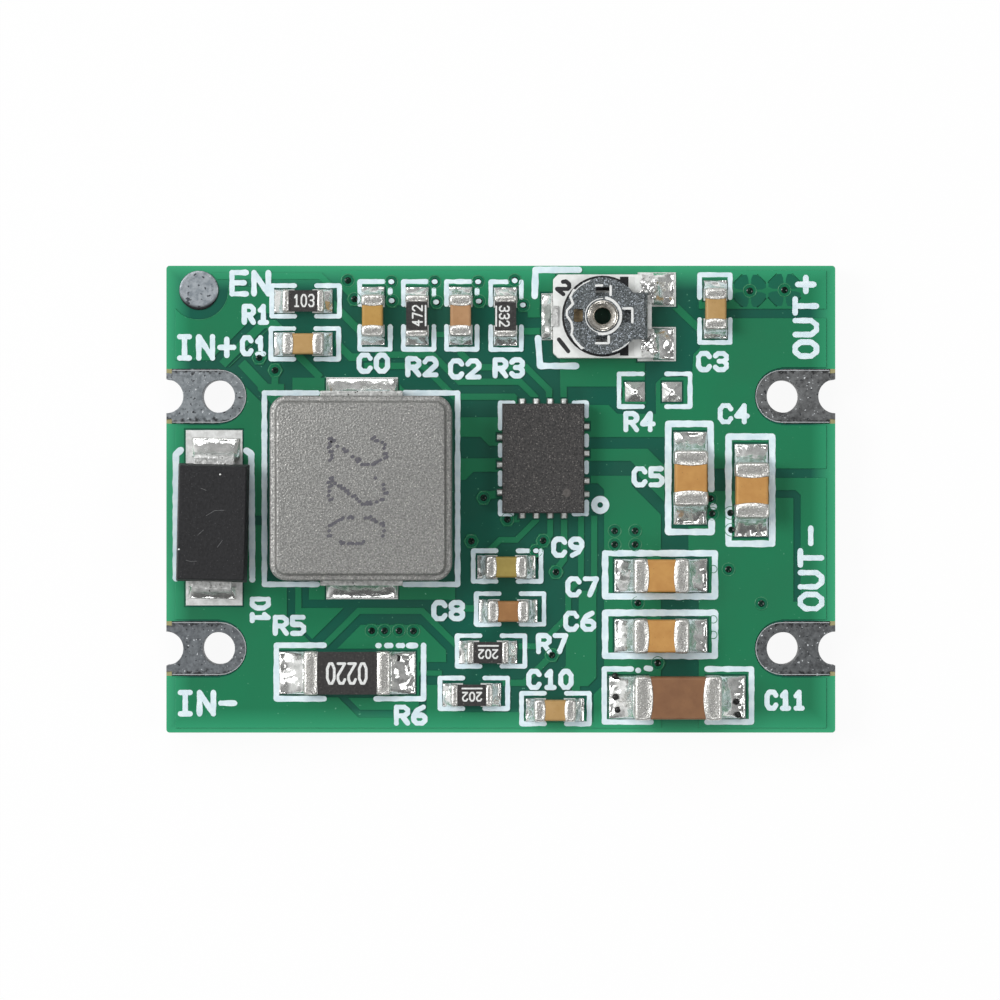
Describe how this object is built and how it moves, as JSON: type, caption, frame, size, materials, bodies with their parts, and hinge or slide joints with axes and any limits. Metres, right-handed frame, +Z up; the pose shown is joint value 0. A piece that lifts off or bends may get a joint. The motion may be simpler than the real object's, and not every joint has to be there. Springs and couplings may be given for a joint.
{
  "type": "buck-boost converter module",
  "caption": "Small green circuit board with plated terminals on both short edges, a power inductor, a diode, a controller chip, chip parts and a turning trimmer.",
  "frame": {"origin": "centre of the board in plan, on the underside of its copper", "axes": "+X from the input terminals to the output terminals along the board's long side, +Y across the board towards the edge with the trimmer, +Z up out of the component side"},
  "size_m": [0.0244, 0.0172, 0.0047],
  "materials": {
    "laminate": "semi-gloss green solder mask over glass-fibre laminate",
    "green_mask": "semi-gloss green solder mask over copper",
    "tin": "bright tin plate",
    "tinned_copper": "dull grey tin over copper",
    "solder": "bright reflowed solder",
    "end_cap_tin": "grainy matt tin plate",
    "ceramic_orange_brown": "fired ceramic",
    "ceramic_tan": "fired ceramic",
    "ceramic_olive": "fired ceramic",
    "ceramic_brown": "fired ceramic",
    "alumina_white": "fired white alumina",
    "black_glaze": "glossy black glaze",
    "black_moulding": "matt black moulding compound",
    "dark_moulding": "matt dark grey moulding compound",
    "pressed_iron": "painted pressed iron powder",
    "resistive_ink": "fired resistive ink",
    "spring_steel": "plated spring steel",
    "nickel_plate": "nickel plate"
  },
  "bodies": {
    "board": {"circuit_board": "laminate", "masked_copper": "green_mask", "underside_copper": "green_mask", "enable_land": "tin", "component_lands": "tin", "solder_joints": "solder", "in_plus_land": "tinned_copper", "in_minus_land": "tinned_copper", "out_plus_land": "tinned_copper", "out_minus_land": "tinned_copper", "c0_ceramic": "ceramic_orange_brown", "c0_end_caps": "end_cap_tin", "c1_ceramic": "ceramic_tan", "c1_end_caps": "end_cap_tin", "c2_ceramic": "ceramic_tan", "c2_end_caps": "end_cap_tin", "c3_ceramic": "ceramic_tan", "c3_end_caps": "end_cap_tin", "c4_ceramic": "ceramic_tan", "c4_end_caps": "end_cap_tin", "c5_ceramic": "ceramic_tan", "c5_end_caps": "end_cap_tin", "c6_ceramic": "ceramic_tan", "c6_end_caps": "end_cap_tin", "c7_ceramic": "ceramic_tan", "c7_end_caps": "end_cap_tin", "c8_ceramic": "ceramic_orange_brown", "c8_end_caps": "end_cap_tin", "c9_ceramic": "ceramic_olive", "c9_end_caps": "end_cap_tin", "c10_ceramic": "ceramic_tan", "c10_end_caps": "end_cap_tin", "c11_ceramic": "ceramic_brown", "c11_end_caps": "end_cap_tin", "r1_body": "alumina_white", "r1_end_caps": "end_cap_tin", "r2_body": "alumina_white", "r2_end_caps": "end_cap_tin", "r3_body": "alumina_white", "r3_end_caps": "end_cap_tin", "r5_body": "alumina_white", "r5_end_caps": "end_cap_tin", "r6_body": "alumina_white", "r6_end_caps": "end_cap_tin", "r7_body": "alumina_white", "r7_end_caps": "end_cap_tin", "resistor_overcoats": "black_glaze", "d1_body": "black_moulding", "d1_leads": "tin", "l1_core": "pressed_iron", "l1_terminals": "tin", "u1_package": "dark_moulding", "u1_contacts": "tin", "trimmer_base": "alumina_white", "trimmer_track": "resistive_ink", "trimmer_eyelet": "nickel_plate", "trimmer_wiper_terminal": "tin", "trimmer_end_terminals": "tin"},
    "rotor": {"trimmer_rotor": "spring_steel"}
  },
  "joints": [
    {"name": "trimmer_turn", "type": "hinge", "parent": "board", "child": "rotor", "pos_m": [0.00371, 0.00668, 0.003], "axis": [0, 0, 1], "range_deg": [-120, 120]}
  ]
}
